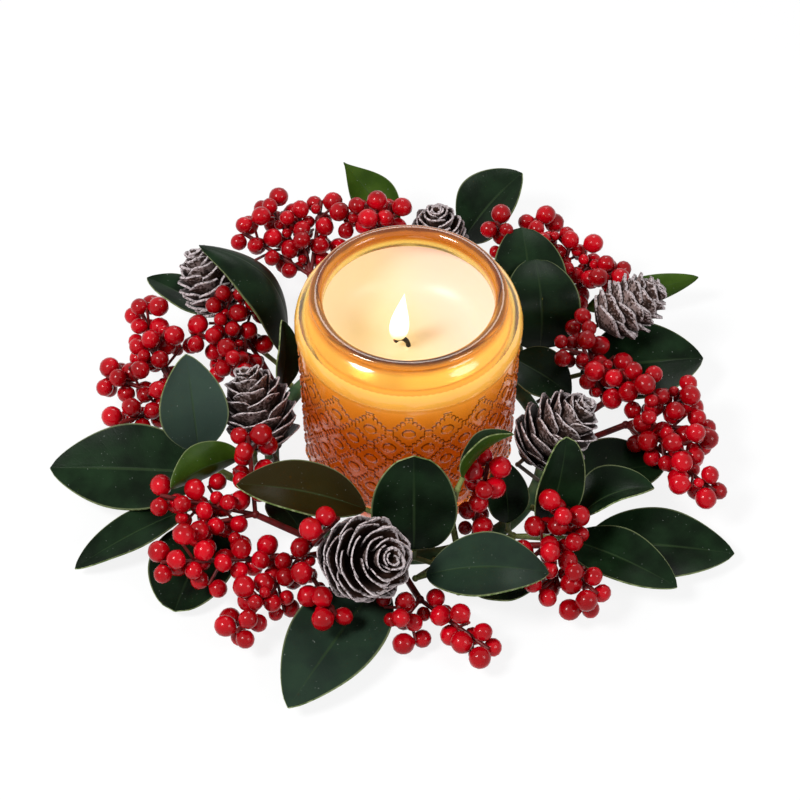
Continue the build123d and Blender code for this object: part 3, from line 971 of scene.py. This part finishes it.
def candleFlame():
    clearSelection()
    segments, rings = flameMake["segments"], flameMake["rings"]
    bpy.ops.mesh.primitive_uv_sphere_add(segments=segments, ring_count=rings, radius=1)
    flame = takeNew("candleFlame")
    flame.data.uv_layers[0].name = "flameMap"
    for vert in flame.data.vertices:
        share = (vert.co.z + 1) / 2
        girth = math.sin(math.pi * share ** 0.5) ** 1.05 if 0.0001 < share < 0.9999 else 0
        reach = math.hypot(vert.co.x, vert.co.y) or 1
        grow = girth * flameMake["radius"] / reach
        side = flameMake["footSide"] + (flameMake["tipSide"] - flameMake["footSide"]) * share ** 1.5
        height = flameMake["low"] + (flameMake["high"] - flameMake["low"]) * share
        vert.co = (vert.co.x * grow + side, vert.co.y * grow, height)
    setFinish(flame, flameFinish())
    smooth(flame)
    settle(flame, "candle", "wick")


candleJar()
candleWax()
candleWick()
candleFlame()
print("candle done")


# stems, twigs, wires and the hoop keep their solids

stalkMake = {
    "olive": (0.15, 0.17, 0.045),
    "oliveDark": (0.06, 0.08, 0.02),
    "red": (0.16, 0.008, 0.008),
    "redDark": (0.06, 0.004, 0.004),
    "wire": (0.1, 0.065, 0.04),
    "wireDark": (0.05, 0.035, 0.02),
    "tape": (0.02, 0.05, 0.017),
    "tapeLight": (0.045, 0.085, 0.03),
    "steel": (0.5, 0.5, 0.5),
    "tin": (0.72, 0.72, 0.74),
}


def stalkFinish(name, light, dark, rough):
    bench = newBench(name)
    patch = bench.noise(180, 3.0)
    fibre = bench.noise(900, 3.0)
    colour = bench.mix(patch.step(0.3, 0.7), dark, light)
    return bench.surface(colour=colour, rough=rough + fibre * 0.15, shine=0.25,
                         normal=bench.bump(patch + fibre * 0.5, 0.45, 0.0005))


def tapeFinish():
    bench = newBench("floralTape")
    side, depth, up = bench.split(bench.place())
    wrap = (side.math("ARCTAN2", depth, side) * 34 + up * 700).wave()
    crepe = bench.noise(700, 3.0)
    colour = bench.mix(wrap.step(-0.6, 0.8), stalkMake["tape"], stalkMake["tapeLight"])
    return bench.surface(colour=colour, rough=0.6 + crepe * 0.2, shine=0.25,
                         normal=bench.bump(wrap * 0.6 + crepe * 0.5, 0.6, 0.0006))


def metalFinish(name, colour, rough):
    bench = newBench(name)
    scuff = bench.noise(400, 3.0)
    shade = bench.mix(scuff.step(0.3, 0.7), colour, tuple(0.7 * part for part in colour))
    return bench.surface(colour=shade, rough=rough + scuff * 0.15, metal=1.0)


stemFinish = stalkFinish("oliveStalk", stalkMake["olive"], stalkMake["oliveDark"], 0.45)
twigFinish = stalkFinish("redTwig", stalkMake["red"], stalkMake["redDark"], 0.4)
wireFinish = stalkFinish("brownWire", stalkMake["wire"], stalkMake["wireDark"], 0.4)
for node, holder in nodes.items():
    if node.startswith("leaf_stems_"):
        setFinish(holder, stemFinish)
    elif node.startswith("berry_twigs_"):
        setFinish(holder, twigFinish)
setFinish(nodes["cone_wires"], wireFinish)
setFinish(nodes["hoop_tape"], tapeFinish())
setFinish(nodes["hoop_wire"], metalFinish("drawnWire", stalkMake["steel"], 0.35))
setFinish(nodes["wick_tab"], metalFinish("stampedTab", stalkMake["tin"], 0.3))
print("stalks and hoop done")


# stage, light and camera

stageMake = {
    "floor": (0.86, 0.86, 0.86),
    "floorWhite": 0.86,
    "shadowReach": (0.2, 0.55),
    "floorSize": 6,
    "floorDrop": 0.3 * mm,
    "lamps": {   # place, size, power
        "keyLamp": ((-0.55, -0.35, 0.9), 0.32, 11.0),
        "fillLamp": ((0.75, -0.5, 0.7), 0.45, 4.5),
        "backLamp": ((0.1, 0.9, 0.8), 0.45, 4.0),
    },
    "room": (0.95, 0.97, 1.0),
    "roomPower": 0.32,
    "candlePower": 0.004,
    "candleColour": (1.0, 0.62, 0.26),
    "candlePlace": Vector((-3, 0, 80)) * mm,
    "candleSoft": 4 * mm,
    "aim": Vector((-3.35, 0, 32.5)) * mm,
    "distance": 850 * mm,
    "elevation": 48.8,
    "lens": 95.5,
    "sensor": 36,
    "clipStart": 0.01,
}


def seenShare(bench):
    seen = bench.make("ShaderNodeLightPath", None, None, "Is Camera Ray")
    return (seen + seen.twin("Is Glossy Ray") + seen.twin("Is Transmission Ray")).atMost(1.0)


def floorFinish():
    bench = newBench("paleFloor")
    white = bench.make("ShaderNodeEmission", None, {"Color": (1, 1, 1), "Strength": 1.0})
    matt = bench.make("ShaderNodeBsdfDiffuse", None, {"Color": stageMake["floor"]})
    reach = bench.make("ShaderNodeVectorMath", {"operation": "LENGTH"}, {0: bench.place()}, "Value")
    near = 1 - reach.step(*stageMake["shadowReach"])   # the shadow fades into the white further out
    share = seenShare(bench) * (1 - near * (1 - stageMake["floorWhite"]))
    return bench.output(bench.blended(share, matt, white))


def stageFloor():
    clearSelection()
    bpy.ops.mesh.primitive_plane_add(size=stageMake["floorSize"], location=(0, 0, -stageMake["floorDrop"]))
    floor = takeNew("paleFloor")
    setFinish(floor, floorFinish())


def softLamp(name, at, size, power):
    lamp = bpy.data.lights.new(name, "AREA")
    lamp.shape, lamp.size, lamp.energy = "DISK", size, power
    linked(name, lamp, at, (stageMake["aim"] - Vector(at)).to_track_quat("-Z", "Y").to_euler())


def candleLight():
    lamp = bpy.data.lights.new("candleLight", "POINT")
    lamp.energy, lamp.color = stageMake["candlePower"], stageMake["candleColour"]
    lamp.shadow_soft_size = stageMake["candleSoft"]
    linked("candleLight", lamp, stageMake["candlePlace"]).parent = frame["bodies"]["candle"]


def whiteWorld():
    world = bpy.data.worlds.new("paleRoom")
    bpy.context.scene.world = world
    bench = Bench(world)
    white = bench.make("ShaderNodeBackground", None, {"Color": (1, 1, 1), "Strength": 1.0})
    dim = {"Color": stageMake["room"], "Strength": stageMake["roomPower"]}
    room = bench.make("ShaderNodeBackground", None, dim)
    bench.output(bench.blended(seenShare(bench), room, white), "ShaderNodeOutputWorld")


def photoCamera():
    lens = bpy.data.cameras.new("photoCamera")
    lens.lens, lens.sensor_width = stageMake["lens"], stageMake["sensor"]
    lens.clip_start = stageMake["clipStart"]
    high = math.radians(stageMake["elevation"])
    at = stageMake["aim"] + Vector((0, -math.cos(high), math.sin(high))) * stageMake["distance"]
    turn = (math.radians(90 - stageMake["elevation"]), 0, 0)
    bpy.context.scene.camera = linked("photoCamera", lens, at, turn)


stageFloor()
for name, lamp in stageMake["lamps"].items():
    softLamp(name, *lamp)
candleLight()
whiteWorld()
photoCamera()
bpy.context.scene.view_settings.view_transform = "Standard"
print("stage done")

clearSelection()
